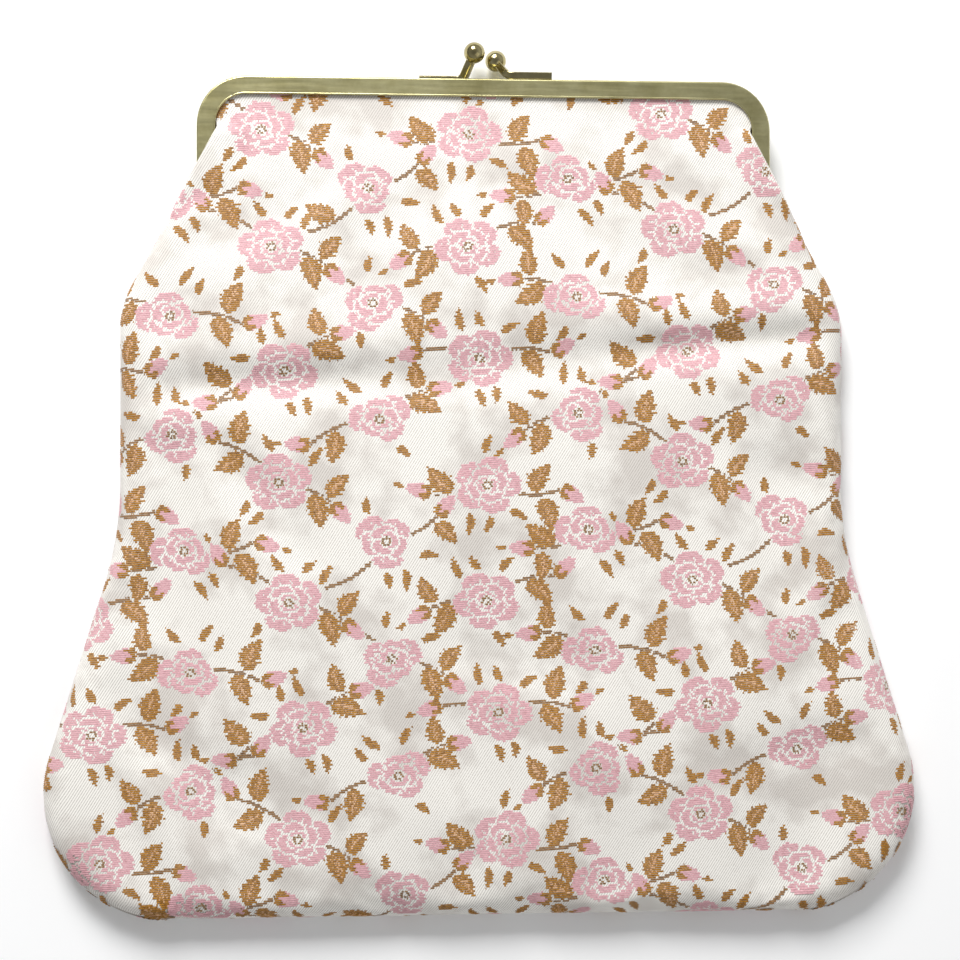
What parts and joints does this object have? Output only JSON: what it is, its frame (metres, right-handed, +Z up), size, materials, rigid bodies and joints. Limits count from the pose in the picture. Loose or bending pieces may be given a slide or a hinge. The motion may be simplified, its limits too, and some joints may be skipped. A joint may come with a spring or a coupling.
{
  "type": "kiss-lock clutch purse",
  "caption": "Flat flared fabric purse, gathered into a hinged brass channel frame that snaps shut with two crossing balls.",
  "frame": {"origin": "on the surface that the closed purse lies on, under the middle of its box", "axes": "+Z up out of the surface through the purse's thickness, +Y from the bottom seam towards the clasp, +X across the frame"},
  "size_m": [0.2312, 0.2322, 0.011],
  "materials": {
    "antique_brass": "pale, satin, lightly worn",
    "polished_brass": "polished",
    "paper_cord": "twisted paper",
    "brocade": "ivory satin with woven roses in pink and leaves in gold brown",
    "interlining": "soft felted padding",
    "lining": "plain cream satin",
    "thread": "sewing thread"
  },
  "bodies": {
    "bag": {"back_frame": "antique_brass", "hinge_rivet_left": "antique_brass", "hinge_rivet_right": "antique_brass", "back_frame_cord": "paper_cord", "back_clasp_arm": "polished_brass", "back_clasp_ball": "polished_brass", "outer_back_panel": "brocade", "outer_front_panel": "brocade", "interlining_back_panel": "interlining", "interlining_front_panel": "interlining", "lining_back_panel": "lining", "lining_front_panel": "lining", "outer_seam_stitches": "thread", "lining_seam_stitches": "thread"},
    "front_half": {"front_frame": "antique_brass", "front_frame_cord": "paper_cord", "front_clasp_arm": "polished_brass", "front_clasp_ball": "polished_brass", "outer_front_panel_top": "brocade", "interlining_front_panel_top": "interlining", "lining_front_panel_top": "lining"}
  },
  "joints": [
    {"name": "frame_hinge", "type": "hinge", "parent": "bag", "child": "front_half", "pos_m": [0, 0.0729, 0.0055], "axis": [1, 0, 0], "range_deg": [0, 100]}
  ]
}
